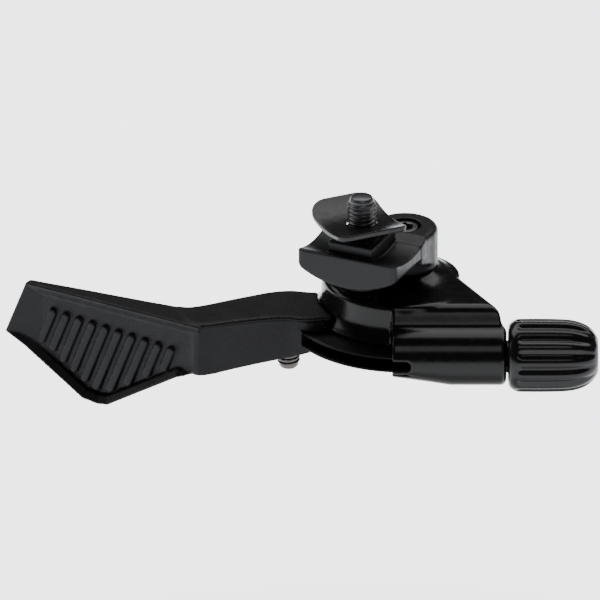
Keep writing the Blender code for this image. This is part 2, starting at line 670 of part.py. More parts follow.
def make_clamp_nut():
    """Curved plate nut that sits inside the brake clamp's band."""
    centre = NUT_VALLEY + NUT_BAR_R - SADDLE_Z
    outer = NUT_BAR_R + NUT_THICK
    front, back = (math.asin(1.1 * y / NUT_BAR_R) for y in NUT_Y)
    angles = [front + (back - front) * i / 14 for i in range(15)]
    loop = [(NUT_BAR_R * math.sin(a), centre - NUT_BAR_R * math.cos(a)) for a in angles]
    loop += [(outer * math.sin(a), centre - outer * math.cos(a)) for a in reversed(angles)]
    rings = [[(x, y, z) for y, z in loop] for x in NUT_X]
    plate = loft("clamp_nut", ON_NUT, rings)
    outline = []
    corners = ((NUT_X[1], NUT_Y[1], 0, 0.0030), (NUT_X[0], NUT_Y[1], 90, 0.0035),
               (NUT_X[0], NUT_Y[0], 180, 0.0020), (NUT_X[1], NUT_Y[0], 270, 0.0012))
    for x, y, turn, radius in corners:
        centre_at = (x - math.copysign(radius, x), y - math.copysign(radius, y))
        outline += arc_points(radius, math.radians(turn), math.radians(turn + 90), 5, centre_at)
    boolean(plate, prism("nut_outline", ON_NUT, outline, 0.0, 0.012), "INTERSECT")
    cut(plate, cylinder("nut_thread_cutter", ON_NUT, 0.00265, 0.0, 0.012, segments=28))
    show_part(plate, BLACK_OXIDE)


# ---------------------------------------------------------------- assembly
clear_scene()
PARTS = make_collection(OBJECT_NAME)
CUTTERS = make_collection("cutters")
ON_PIVOT = make_empty("pivot_axis", PIVOT)
ON_CLAMP = make_empty("clamp_axis", (0, 0, 0), BRACKET_TURN)
ON_NUT = make_empty("nut_axis", (0, 0, 0), NUT_TURN)
bpy.context.view_layer.update()

make_lever_body()
make_bracket()
make_pivot_group()
make_return_spring()
make_lever_arm()
make_set_screw()
make_barrel_bolt()
make_knob()
make_detent()
make_clamp_screw()
make_clamp_nut()
bpy.context.view_layer.update()
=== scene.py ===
import json
import math

import bmesh
import bpy
import numpy as np
from mathutils import Matrix, Vector


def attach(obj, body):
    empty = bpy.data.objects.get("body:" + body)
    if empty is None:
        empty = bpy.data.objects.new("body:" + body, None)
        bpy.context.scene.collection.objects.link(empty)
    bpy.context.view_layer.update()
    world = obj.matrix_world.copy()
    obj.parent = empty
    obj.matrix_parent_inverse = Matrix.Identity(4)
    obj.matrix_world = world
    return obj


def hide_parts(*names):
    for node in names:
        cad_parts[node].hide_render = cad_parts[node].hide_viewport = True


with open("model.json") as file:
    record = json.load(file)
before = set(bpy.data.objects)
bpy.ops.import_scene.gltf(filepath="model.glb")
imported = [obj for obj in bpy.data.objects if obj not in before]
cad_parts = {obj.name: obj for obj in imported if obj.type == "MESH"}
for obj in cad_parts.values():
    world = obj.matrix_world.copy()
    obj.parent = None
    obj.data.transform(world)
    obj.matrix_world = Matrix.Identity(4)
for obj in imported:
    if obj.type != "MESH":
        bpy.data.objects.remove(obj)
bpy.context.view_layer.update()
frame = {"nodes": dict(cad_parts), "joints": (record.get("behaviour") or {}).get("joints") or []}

joints = {joint["name"]: joint for joint in frame["joints"]}


# ------------------------------------------------------------------ studio
# A pale floor well below the lever, which hangs from its clamp, a long lens
# looking along the bar from 25 degrees up, and broad soft lamps. The floor glows
# weakly right under the lever and fully further out, a painted shadow beneath it.
VIEW_ELEVATION = math.radians(25.0)
VIEW_CENTRE = Vector((-0.01025, 0.0011, -0.0098))
VIEW_WIDTH = 0.100
LENS = 900.0
SENSOR = 36.0


def soft_lamp(name, at, size, watts, aim=VIEW_CENTRE):
    lamp = bpy.data.lights.new(name, "AREA")
    lamp.shape = "RECTANGLE"
    lamp.size, lamp.size_y = size
    lamp.energy = watts
    holder = bpy.data.objects.new(name, lamp)
    holder.location = at
    holder.rotation_euler = (aim - Vector(at)).to_track_quat("-Z", "Y").to_euler()
    bpy.context.scene.collection.objects.link(holder)


camera_data = bpy.data.cameras.new("studio_camera")
camera_data.lens = LENS
camera_data.sensor_width = SENSOR
camera = bpy.data.objects.new("studio_camera", camera_data)
reach = VIEW_WIDTH * LENS / SENSOR
towards = Vector((0, -math.cos(VIEW_ELEVATION), math.sin(VIEW_ELEVATION)))
camera.location = VIEW_CENTRE + towards * reach
camera.rotation_euler = (math.pi / 2 - VIEW_ELEVATION, 0, 0)
camera_data.clip_start = 0.01
bpy.context.scene.collection.objects.link(camera)
bpy.context.scene.camera = camera

soft_lamp("overhead_box", (0.0, 0.50, 0.90), (2.10, 0.80), 18.0)
soft_lamp("front_box", (0.10, -0.72, 0.85), (0.55, 0.40), 1.7)
soft_lamp("left_box", (-0.90, 0.20, 0.35), (0.25, 0.50), 1.2)

world = bpy.data.worlds.new("studio_air")
bpy.context.scene.world = world
world.use_nodes = True
world.node_tree.nodes["Background"].inputs["Color"].default_value = (0.95, 0.97, 1.0, 1)
world.node_tree.nodes["Background"].inputs["Strength"].default_value = 0.07

bpy.ops.mesh.primitive_plane_add(size=6.0, location=(0, 0, -0.12))
floor = bpy.context.object
floor.name = "studio_floor"
floor_paint = bpy.data.materials.new("pale_floor_painted_shade")
floor_paint.use_nodes = True
floor_tree = floor_paint.node_tree
floor_shader = floor_tree.nodes["Principled BSDF"]
floor_shader.inputs["Base Color"].default_value = (0.74, 0.74, 0.75, 1)
floor_shader.inputs["Roughness"].default_value = 0.9
floor_shader.inputs["Emission Color"].default_value = (0.96, 0.98, 1.0, 1)
floor_place = floor_tree.nodes.new("ShaderNodeTexCoord")
floor_reach = floor_tree.nodes.new("ShaderNodeVectorMath")
floor_reach.operation = "LENGTH"
# Painted shadow: emission strength rises with distance from the floor's centre, from 0.3 under the lever to 2.9
# further out.
floor_glow_and_painted_shade = floor_tree.nodes.new("ShaderNodeMapRange")
floor_glow_and_painted_shade.interpolation_type = "SMOOTHSTEP"
floor_glow_and_painted_shade.inputs["From Min"].default_value = 0.03
floor_glow_and_painted_shade.inputs["From Max"].default_value = 0.13
floor_glow_and_painted_shade.inputs["To Min"].default_value = 0.3
floor_glow_and_painted_shade.inputs["To Max"].default_value = 2.9
floor_tree.links.new(floor_place.outputs["Object"], floor_reach.inputs[0])
floor_tree.links.new(floor_reach.outputs["Value"], floor_glow_and_painted_shade.inputs["Value"])
floor_tree.links.new(floor_glow_and_painted_shade.outputs["Result"], floor_shader.inputs["Emission Strength"])
floor.data.materials.append(floor_paint)


# ------------------------------------------------------------------ lever body
# Die-cast housing under a glossy black paint: a round drum over the hub, a top
# plate with a steep front wall, and the barrel that takes the cable adjuster.
# The castings are shaped in millimetres about the foot of the pivot axis, as
# distances to their walls, so that every inner corner gets its cast fillet.
PIVOT_FOOT = Vector(joints["lever_pivot"]["pos_m"])
CABLE_Y, CABLE_Z = -15.5, 1.475
SCREW_X, SCREW_Y = -7.25, -7.1
DRUM_TOP_Z, DRUM_FOOT_Z = 9.5, 3.1
DRUM_R, FLARE_OUT = 13.8, 1.6


def meld(a, b, fillet):
    """Two solids made one, with a fillet where they meet."""
    share = np.clip(0.5 + 0.5 * (b - a) / fillet, 0, 1)
    return b * (1 - share) + a * share - fillet * share * (1 - share)


def common(a, b, edge):
    """What two solids share, with its edge rounded."""
    return -meld(-a, -b, edge)


def carve(a, b, edge=0.12):
    """Solid a with b taken away."""
    return common(a, -b, edge)


def along_edges(corners):
    return zip(corners, corners[1:] + corners[:1])


def outline_distance(x, y, corners):
    """Distance to a closed outline, negative inside."""
    nearest, inside = np.float32(1e9), False
    for (ax, ay), (bx, by) in along_edges(corners):
        ex, ey = bx - ax, by - ay
        share = np.clip(((x - ax) * ex + (y - ay) * ey) / (ex * ex + ey * ey), 0, 1)
        nearest = np.minimum(nearest, (x - ax - ex * share) ** 2 + (y - ay - ey * share) ** 2)
        if ey:
            inside = inside ^ (((ay > y) != (by > y)) & (x < ex * (y - ay) / ey + ax))
    return np.where(inside, -1, 1) * np.sqrt(nearest)


def arc(radius, start, end, steps, centre=(0, 0)):
    turns = [math.radians(start + (end - start) * i / steps) for i in range(steps + 1)]
    return [(centre[0] + radius * math.cos(t), centre[1] + radius * math.sin(t)) for t in turns]


def beyond(x, y, degrees):
    """Distance past the upright plane through the pivot axis at this bearing."""
    turn = math.radians(degrees)
    return -x * math.sin(turn) + y * math.cos(turn)


def cast_mesh(name, distance, low, high, step, turn=0.0, foot=PIVOT_FOOT):
    """Skins a solid given by its distance field, with one vertex for each cut cell."""
    axes = [np.arange(a - 2 * step, b + 2.5 * step, step, dtype=np.float32) for a, b in zip(low, high)]
    field = distance(axes[0][:, None, None], axes[1][None, :, None], axes[2][None, None, :])
    counts = np.array(field.shape) - 1
    strides = np.array((counts[1] * counts[2], counts[2], 1))
    total = np.zeros((counts.prod(), 3))
    hits = np.zeros(counts.prod())
    quads = []
    for axis in range(3):
        near = np.moveaxis(field, axis, 0)[:-1]
        far = np.moveaxis(field, axis, 0)[1:]
        spots = np.argwhere((near < 0) != (far < 0))
        before = near[tuple(spots.T)]
        after = far[tuple(spots.T)]
        order = [axis] + [a for a in range(3) if a != axis]
        cell = np.empty_like(spots)
        cell[:, order] = spots
        crossing = cell.astype(float)
        crossing[:, axis] += before / (before - after)
        u, v = (axis + 1) % 3, (axis + 2) % 3
        corners = []
        for du, dv in ((0, 0), (1, 0), (1, 1), (0, 1)):
            beside = cell.copy()
            beside[:, u] -= du
            beside[:, v] -= dv
            corners.append(beside @ strides)
        quad = np.stack(corners, 1)
        leaving = before < 0
        quad[~leaving] = quad[~leaving][:, ::-1]
        quads.append(quad)
        for corner in corners:
            hits += np.bincount(corner, minlength=len(hits))
            for i in range(3):
                total[:, i] += np.bincount(corner, crossing[:, i], minlength=len(hits))
    used = np.flatnonzero(hits)
    rename = np.zeros(len(hits), int)
    rename[used] = np.arange(len(used))
    places = total[used] / hits[used][:, None] * step + np.array([a[0] for a in axes])
    mesh = bpy.data.meshes.new(name)
    faces = rename[np.concatenate(quads)]
    mesh.from_pydata(places.tolist(), [], faces.tolist())
    mesh.transform(Matrix.Translation(foot) @ Matrix.Rotation(turn, 4, "Z") @ Matrix.Scale(0.001, 4))
    mesh.shade_smooth()
    return mesh


def new_piece(name, mesh, finish):
    piece = bpy.data.objects.new(name, mesh)
    bpy.context.scene.collection.objects.link(piece)
    mesh.materials.clear()
    mesh.materials.append(finish)
    return piece


def ease_mesh(mesh, rounds, factor=0.5):
    """Evens out the skin's cell steps."""
    work = bmesh.new()
    work.from_mesh(mesh)
    for _ in range(rounds):
        bmesh.ops.smooth_vert(work, verts=work.verts, factor=factor, use_axis_x=True,
                              use_axis_y=True, use_axis_z=True)
    work.to_mesh(mesh)
    work.free()
    return mesh


def add_noise(tree, place, size, detail):
    noise = tree.nodes.new("ShaderNodeTexNoise")
    noise.inputs["Scale"].default_value = 1.0 / size
    noise.inputs["Detail"].default_value = detail
    tree.links.new(place.outputs["Object"], noise.inputs["Vector"])
    return noise


def add_range(tree, source, low, high, from_low=0.3, from_high=0.7):
    spread = tree.nodes.new("ShaderNodeMapRange")
    spread.inputs["From Min"].default_value = from_low
    spread.inputs["From Max"].default_value = from_high
    spread.inputs["To Min"].default_value = low
    spread.inputs["To Max"].default_value = high
    tree.links.new(source, spread.inputs["Value"])
    return spread


def surface_finish(name, colour, rough, metallic=0.0, grain=0.00012, grain_height=0.000004,
                   wave=0.002, wave_height=0.0, shine=0.3, tone=0.25):
    """Shader with a fine grain, slow changes of gloss and a little unevenness of colour."""
    material = bpy.data.materials.new(name)
    material.use_nodes = True
    tree = material.node_tree
    shader = tree.nodes["Principled BSDF"]
    place = tree.nodes.new("ShaderNodeTexCoord")
    fine = add_noise(tree, place, grain, 3.0)
    slow = add_noise(tree, place, wave, 2.0)
    gloss = add_range(tree, slow.outputs["Fac"], rough * 0.85, rough * 1.2)
    tree.links.new(gloss.outputs["Result"], shader.inputs["Roughness"])
    tint = tree.nodes.new("ShaderNodeMix")
    tint.data_type = "RGBA"
    tint.inputs["A"].default_value = (*[c * (1 - tone) for c in colour], 1)
    tint.inputs["B"].default_value = (*[min(1, c * (1 + tone)) for c in colour], 1)
    tree.links.new(slow.outputs["Fac"], tint.inputs["Factor"])
    tree.links.new(tint.outputs["Result"], shader.inputs["Base Color"])
    shader.inputs["Metallic"].default_value = metallic
    shader.inputs["Specular IOR Level"].default_value = shine
    bump = tree.nodes.new("ShaderNodeBump")
    bump.inputs["Distance"].default_value = grain_height
    tree.links.new(fine.outputs["Fac"], bump.inputs["Height"])
    if wave_height:
        swell = tree.nodes.new("ShaderNodeBump")
        swell.inputs["Distance"].default_value = wave_height
        tree.links.new(slow.outputs["Fac"], swell.inputs["Height"])
        tree.links.new(swell.outputs["Normal"], bump.inputs["Normal"])
    tree.links.new(bump.outputs["Normal"], shader.inputs["Normal"])
    return material


gloss_paint = surface_finish("gloss_black_paint", (0.002, 0.002, 0.0022), 0.20, grain=0.00018,
                             grain_height=0.000002, wave=0.0016, wave_height=0.00001, shine=0.18)


def drum_flare(z):
    """How far the drum's foot has spread at this height, from 0 to 1."""
    return np.clip((6.0 - z) / 2.7, 0, 1) ** 2


def body_distance(x, y, z):
    """Distance to the walls of the housing, negative inside the metal."""
    r = np.hypot(x, y)
    plan = arc(17.5, 168, 300, 30) + arc(7.5, 27.6, 108.6, 12)
    side = r - DRUM_R - 0.2 * np.clip(DRUM_TOP_Z - z, 0, 4) / 4 - FLARE_OUT * drum_flare(z)
    drum = common(side, outline_distance(x, y, plan), 0.8)
    drum = common(common(drum, z - DRUM_TOP_Z, 1.0), DRUM_FOOT_Z - z, 0.25)
    spread = np.clip((11.0 - z) / 1.5, 0, 1.3) ** 2
    boss = common(common((r - 5.3 - 2.3 * spread) * 0.7, z - 11.0, 0.8), 7.0 - z, 0.1)
    drum = meld(drum, boss, 1.0)

    slope = -0.840 * (y + 13.5) + 0.542 * (z - DRUM_TOP_Z)
    front = common(slope, -(y + 15.75), 0.8)
    rear = 0.886 * (x - 7.0) + 0.463 * (y - 2.9)
    web = common(common(front, rear, 0.5), z - DRUM_TOP_Z, 1.3)
    web = common(common(web, -2.2 - x, 0.35), x - 16.2, 0.6)
    web = common(common(web, 1.5 - z, 0.4), y - 6.0, 0.5)

    depth = 3.2 + 1.75 * np.clip((x + 2.2) / 9.7, 0, 1)
    drop = z - CABLE_Z
    drop = np.where(drop < 0, drop * 4.95 / depth, drop)
    barrel = np.hypot(y - CABLE_Y, drop) - 4.95
    barrel = common(common(barrel, x - 16.8, 1.1), -2.2 - x, 0.35)
    body = meld(meld(drum, web, 0.45), barrel, 0.9)

    sector = np.maximum(np.maximum(beyond(x, y, 286.6), -beyond(x, y, 135)), r - 19.8)
    pocket = common(np.minimum(sector, r - 7.6), np.maximum(z - DRUM_FOOT_Z, -0.35 - z), 0.1)
    slot = np.where(x > 0, np.hypot(x, z - CABLE_Z), abs(z - CABLE_Z) + 0 * x) - 0.9
    body = carve(carve(body, pocket), np.maximum(slot, y + 18.0))
    cup = np.maximum(r - 6.4, z - 7.5)
    axle_way = np.maximum(r - 3.2, 6.0 - z)
    along = np.hypot(y - CABLE_Y, z - CABLE_Z)
    bore = np.maximum(along - 3.2, 7.6 - x)
    cable_way = np.maximum(along - 1.2, np.maximum(2.0 - x, x - 9.0))
    access = np.hypot(x - SCREW_X, y - SCREW_Y) - 2.3 + 0 * z
    for hollow in (cup, axle_way, bore, cable_way, access):
        body = carve(body, hollow)
    return body


body_mesh = cast_mesh("body_casting", body_distance, (-15.8, -20.8, -3.7), (17.0, 9.0, 11.2), 0.2)
body_casting = new_piece("body_casting", ease_mesh(body_mesh, 2), gloss_paint)
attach(body_casting, "body")
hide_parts("lever_body")


# ------------------------------------------------------------------ clamp bracket
# Saddle block with its key and rear ear, cast in one and finished dark grey.
# The saddle lies against the brake clamp's band and the key enters its slot.
BRACKET_TURN = math.radians(-25)
SADDLE_RADIUS, ARCH_RADIUS = 17.0, 16.4
EAR_X, EAR_Y = 3.57, 9.5

dark_anodise = surface_finish("dark_anodise", (0.012, 0.012, 0.0135), 0.36, grain=0.0001, shine=0.13,
                              grain_height=0.000003, wave=0.0012, wave_height=0.000008)


def bracket_distance(x, y, z):
    """Distance to the bracket's walls, about the clamp screw's axis."""
    block = common(abs(x) - 9.0, abs(y) - 6.3, 1.1)
    block = common(block, np.hypot(x, z - 11.7) - ARCH_RADIUS, 0.5)
    block = common(block, common(SADDLE_RADIUS - np.hypot(y, z - SADDLE_RADIUS), z - 1.0, 0.1), 0.3)
    ear_plan = np.hypot(x - EAR_X, y - EAR_Y) - 5.5
    ear = common(ear_plan, -5.7 - z, 0.3)
    neck = np.maximum(np.maximum(x - 9.05, -1.95 - x), np.maximum(y - EAR_Y, 4.2 - y))
    neck = common(neck, -2.0 - 0.35 * np.clip(y - 0.9, 0, 9) - z, 0.5)
    rear_part = common(meld(neck, ear, 0.3), z - 1.3, 1.2)
    rear_part = np.maximum(rear_part, SADDLE_RADIUS - np.hypot(y, z - SADDLE_RADIUS))
    bracket = meld(block, rear_part, 0.35)
    key = common(common(abs(x) - 4.1, abs(y) - 4.65, 0.35), z - 2.7, 0.35)
    key = np.maximum(key, -1.0 - z)
    bracket = meld(bracket, key, 0.25)
    r = np.hypot(x, y)
    ear_r = np.hypot(x - EAR_X, y - EAR_Y)
    hollows = (r - 2.8 + 0 * z, np.maximum(r - 3.6, 1.7 - z), np.maximum(r - 4.5, z + 2.4),
               ear_r - 1.8 + 0 * z, np.maximum(ear_r - 2.7, -1.0 - z))
    for hollow in hollows:
        bracket = carve(bracket, hollow, 0.15)
    return bracket


bracket_mesh = cast_mesh("bracket_casting", bracket_distance, (-9.1, -6.5, -5.8), (9.3, 15.2, 2.8), 0.16,
                         BRACKET_TURN, Vector((0, 0, 0)))
bracket_casting = new_piece("bracket_casting", ease_mesh(bracket_mesh, 1), dark_anodise)
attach(bracket_casting, "body")
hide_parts("clamp_bracket")


# ------------------------------------------------------------------ lever arm
# Arm, thumb paddle and grooved cable hub, cast in one with a fine satin grain.
# The paddle's face lies behind its top edge and carries slanted grip ribs.
FACE_ALONG = (-0.840, 0.5425)
FACE_FROM = (-34.5, -12.3)
BACK_FROM = (-35.5, -5.0)
BACK_OUT = (0.423, 0.906)
ARM_TOP_Z = 5.15
HUB_TOP_Z = 2.76
DRUM_ROOM_R = 14.25
SCREW_SPOT = (-19.4, -4.8)
RIB_FIRST, RIB_PITCH, RIB_SLANT = -59.4, 2.21, 0.35
RIB_LOW = (-5.4, -6.4, -8.0, -9.2, -10.5, -11.4, -11.1, -9.0, -6.5, -4.5)

satin_cast = surface_finish("satin_cast_black", (0.004, 0.004, 0.0047), 0.38, grain=0.0003,
                            grain_height=0.00008, wave=0.004, wave_height=0.00001, shine=0.115)


def corner_cut(points, rounds=2):
    """Softens an open line by cutting its corners, ends kept."""
    for _ in range(rounds):
        cut = [points[0]]
        for (ax, ay), (bx, by) in zip(points, points[1:]):
            cut.append((ax * 0.75 + bx * 0.25, ay * 0.75 + by * 0.25))
            cut.append((ax * 0.25 + bx * 0.75, ay * 0.25 + by * 0.75))
        points = cut + [points[-1]]
    return points


def face_spot(x):
    """Distance along the paddle's face of a point at x."""
    return (FACE_FROM[0] - x) / -FACE_ALONG[0]


paddle_outline = [(face_spot(x), z) for x, z in
                  ((-34.0, 5.15), (-34.0, -4.7), (-36.5, -4.7), (-38.2, -5.3), (-49.9, -14.0),
                   (-51.6, -14.3), (-54.1, -14.0), (-63.8, -7.2), (-67.1, -5.4), (-63.5, 4.7))]


def rib_lines():
    """Upper and lower end of each rib, as distance along the face and height."""
    lines = []
    for i, low in enumerate(RIB_LOW):
        x, top = RIB_FIRST + RIB_PITCH * i, -0.12 * i
        lines.append((face_spot(x), top, face_spot(x + RIB_SLANT * (low - top)), low))
    return lines


def paddle_distance(x, y, z):
    """Slab with the thumb recess, its ledge along the foot and its grip ribs."""
    dx, dy = x - FACE_FROM[0], y - FACE_FROM[1]
    spot = dx * FACE_ALONG[0] + dy * FACE_ALONG[1]
    depth = dx * FACE_ALONG[1] - dy * FACE_ALONG[0]
    back = (x - BACK_FROM[0]) * BACK_OUT[0] + (y - BACK_FROM[1]) * BACK_OUT[1] - 0.25
    edge = outline_distance(spot, z, paddle_outline)
    slab = common(common(edge, back, 0.6), -depth, 0.25)
    top = 5.15 - 0.013 * spot
    room = np.clip((41.0 - spot) / 9.0, 0.35, 1.0)
    knee = -7.3 + 0.095 * (36.0 - spot)
    bottom = np.interp(spot, *zip(*sorted(paddle_outline[1:-1])))
    floor_at = room * (1.25 + 0.5 * np.clip((knee - z) / np.maximum(knee - bottom, 0.5), 0, 1))
    left = ((spot - 34.5) * 0.920 + (z - 4.7) * 0.392 + 0.3 + 2.4 * depth) / 2.6
    open_outline = [(-9.0, 9.0), (-9.0, -12.0)] + paddle_outline[3:-1] + [(43.0, -5.0), (43.0, 9.0)]
    ledge = 0.25 + 1.3 * np.minimum(depth, 0.8) + 0.2 * np.maximum(depth - 0.8, 0)
    rim = np.maximum((outline_distance(spot, z, open_outline) + ledge) * 0.7, left)
    upper_wall = (z - (top - 0.35 - 1.35 * depth)) * 0.6
    recess = common(common(depth - floor_at, rim, 0.2), upper_wall, 0.15)
    paddle = carve(slab, recess, 0.12)
    for s0, z0, s1, z1 in rib_lines():
        es, ez = s1 - s0, z1 - z0
        share = np.clip(((spot - s0) * es + (z - z0) * ez) / (es * es + ez * ez), 0, 1)
        rib = np.hypot(spot - s0 - es * share, z - z0 - ez * share) - 0.72
        rib = common(rib, 0.55 - depth, 0.25)
        paddle = meld(paddle, np.maximum(rib, depth - floor_at - 0.5), 0.2)
    return paddle


arm_front = corner_cut([(-36.4, -9.6), (-34.5, -12.3), (-27.5, -9.9), (-20.0, -8.3), (-17.0, -9.5), (-12.0, -8.5)])
arm_back = corner_cut([(-10.5, 1.0), (-15.3, 1.2), (-20.3, 2.4), (-27.5, -0.8), (-35.5, -4.8), (-38.0, -4.2)])
arm_foot = corner_cut([(-40.0, -4.6), (-34.5, -4.7), (-27.5, -3.85), (-20.0, -2.85), (-17.0, -1.65), (-10.0, 0.2)])


def arm_distance(x, y, z):
    """Arm between paddle and hub, its front set back under a thin top ledge."""
    full = outline_distance(x, y, arm_front + arm_back)
    set_back = 0.7 - 0.2 * np.clip((x + 34) / 14, 0, 1)
    inner = outline_distance(x, y - set_back, arm_front + arm_back)
    inner = np.maximum(inner, full)
    foot = np.interp(x, [a for a, b in arm_foot], [b for a, b in arm_foot]).astype(np.float32)
    main = common(common(inner, z - ARM_TOP_Z, 0.35), foot - z, 0.5)
    ledge = common(full, z - ARM_TOP_Z, 0.35)
    ledge = common(ledge, ARM_TOP_Z - 0.55 - z, 0.2)
    return meld(main, ledge, 0.5)


def hub_distance(x, y, z):
    """Cable hub with its boss, and apart from it the groove to be cut."""
    r = np.hypot(x, y)
    slab = common(z - HUB_TOP_Z, -z, 0.1)
    span = common(beyond(x, y, 285), -beyond(x, y, 195), 0.3)
    rim = common(common(r - 19.5, span, 0.4), slab, 0.25)
    left = common(common(r - 13.3, -beyond(x, y, 160), 0.5), common(x, slab, 0.1), 0.2)
    plate = np.minimum(common(r - 7.2, slab, 0.25), np.minimum(rim, left))
    boss = common(r - 4.8, z - 6.2, 0.2)
    hub = meld(plate, np.maximum(boss, -z), 0.4)
    mouth = 0.55 + 0.42 * np.clip(r - 15.75, 0, 4) / 3.75
    groove = np.maximum(np.maximum(15.75 - r, abs(z - CABLE_Z) - mouth), -beyond(x, y, 207))
    return hub, groove


def lever_distance(x, y, z):
    """The whole casting, with room for the drum, bores and groove cut."""
    at_bend = (x + 34.5) * 0.991 + (y + 12.3) * 0.136
    paddle = np.maximum(paddle_distance(x, y, z), at_bend - 0.4)
    lever = meld(arm_distance(x, y, z), paddle, 0.3)
    hub, groove = hub_distance(x, y, z)
    r = np.hypot(x, y)
    drum_room = np.maximum(r - DRUM_ROOM_R - FLARE_OUT * drum_flare(z), HUB_TOP_Z + 0.1 - z)
    lever = carve(lever, drum_room, 0.4)
    lever = meld(lever, hub, 0.35)
    hollows = (groove, r - 4.2 + 0 * z, np.maximum(r - 5.3, z - 0.6),
               np.hypot(x - SCREW_X, y - SCREW_Y) - 2.4 + 0 * z,
               np.maximum(np.hypot(x - SCREW_SPOT[0], y - SCREW_SPOT[1]) - 2.2, z - 4.2))
    for hollow in hollows:
        lever = carve(lever, hollow, 0.12)
    return lever


lever_mesh = cast_mesh("lever_casting", lever_distance, (-67.5, -19.8, -14.6), (7.4, 13.4, 6.4), 0.22)
lever_casting = new_piece("lever_casting", ease_mesh(lever_mesh, 1), satin_cast)
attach(lever_casting, "lever")
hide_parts("lever_arm")


# ------------------------------------------------------------------ cable set screw
# Headless M4 screw of bare plated steel that clamps the cable end in the arm.
# Its threaded lower end, with the hexagon socket, shows under the arm.
def around(profile, segments=48):
    """Turned solid from (radius, height) pairs; a third item makes a hexagon of that inner radius."""
    verts, faces, rings = [], [], []
    for radius, height, *six in profile:
        if radius == 0:
            rings.append([len(verts)])
            verts.append((0, 0, height))
            continue
        ring = []
        for i in range(segments):
            turn = math.tau * i / segments
            reach = radius
            if six:
                reach /= math.cos((turn + math.pi / 6) % (math.pi / 3) - math.pi / 6)
            ring.append(len(verts))
            verts.append((reach * math.cos(turn), reach * math.sin(turn), height))
        rings.append(ring)
    for upper, lower in zip(rings, rings[1:]):
        for i in range(segments):
            j = (i + 1) % segments
            quad = [upper[i % len(upper)], lower[i % len(lower)], lower[j % len(lower)], upper[j % len(upper)]]
            face = list(dict.fromkeys(quad))
            if len(face) > 2:
                faces.append(face)
    mesh = bpy.data.meshes.new("turned")
    mesh.from_pydata(verts, [], faces)
    return mesh


def settle_mesh(mesh, at, turn=0.0, along_x=False, crease=32):
    """Moves a mesh made in millimetres about its own axis to its place."""
    lay = Matrix.Rotation(math.pi / 2, 4, "Y") if along_x else Matrix.Identity(4)
    mesh.transform(Matrix.Translation(at) @ Matrix.Rotation(turn, 4, "Z") @ lay @ Matrix.Scale(0.001, 4))
    mesh.shade_smooth()
    mesh.set_sharp_from_angle(angle=math.radians(crease))
    return mesh


def by_pivot(x=0.0, y=0.0, z=0.0):
    """Place in metres of a point given in millimetres from the foot of the pivot axis."""
    return PIVOT_FOOT + Vector((x, y, z)) / 1000


def node_sums(tree):
    """Short ways to add arithmetic nodes to a tree."""
    def value(kind, a, b=None, c=None):
        node = tree.nodes.new("ShaderNodeMath")
        node.operation = kind
        for socket, item in zip(node.inputs, (a, b, c)):
            if isinstance(item, (int, float)):
                socket.default_value = item
            elif item is not None:
                tree.links.new(item, socket)
        return node.outputs[0]
    return value


def tree_inputs(name, floats, whole=()):
    """Geometry tree with named number inputs, a material input and the group's end nodes."""
    tree = bpy.data.node_groups.new(name, "GeometryNodeTree")
    tree.interface.new_socket("Geometry", in_out="INPUT", socket_type="NodeSocketGeometry")
    for item in floats:
        tree.interface.new_socket(item, in_out="INPUT", socket_type="NodeSocketFloat")
    for item in whole:
        tree.interface.new_socket(item, in_out="INPUT", socket_type="NodeSocketInt")
    tree.interface.new_socket("Material", in_out="INPUT", socket_type="NodeSocketMaterial")
    tree.interface.new_socket("Geometry", in_out="OUTPUT", socket_type="NodeSocketGeometry")
    return tree, tree.nodes.new("NodeGroupInput"), tree.nodes.new("NodeGroupOutput")


def close_tree(tree, given, last, geometry):
    """Ends a geometry tree in Realize Instances and Set Material."""
    real = tree.nodes.new("GeometryNodeRealizeInstances")
    paint = tree.nodes.new("GeometryNodeSetMaterial")
    tree.links.new(geometry, real.inputs[0])
    tree.links.new(real.outputs[0], paint.inputs["Geometry"])
    tree.links.new(given.outputs["Material"], paint.inputs["Material"])
    tree.links.new(paint.outputs["Geometry"], last.inputs["Geometry"])


def grow(mesh, tree, finish, **numbers):
    """Runs a geometry tree on a mesh and returns the plain mesh that it makes."""
    holder = bpy.data.objects.new("growing", mesh)
    bpy.context.scene.collection.objects.link(holder)
    step = holder.modifiers.new("grow", "NODES")
    step.node_group = tree
    for socket in tree.interface.items_tree:
        if socket.in_out == "INPUT" and socket.name in numbers:
            step[socket.identifier] = numbers[socket.name]
        elif socket.in_out == "INPUT" and socket.name == "Material":
            step[socket.identifier] = finish
    shown = holder.evaluated_get(bpy.context.evaluated_depsgraph_get())
    plain = bpy.data.meshes.new_from_object(shown)
    bpy.data.objects.remove(holder)
    return plain


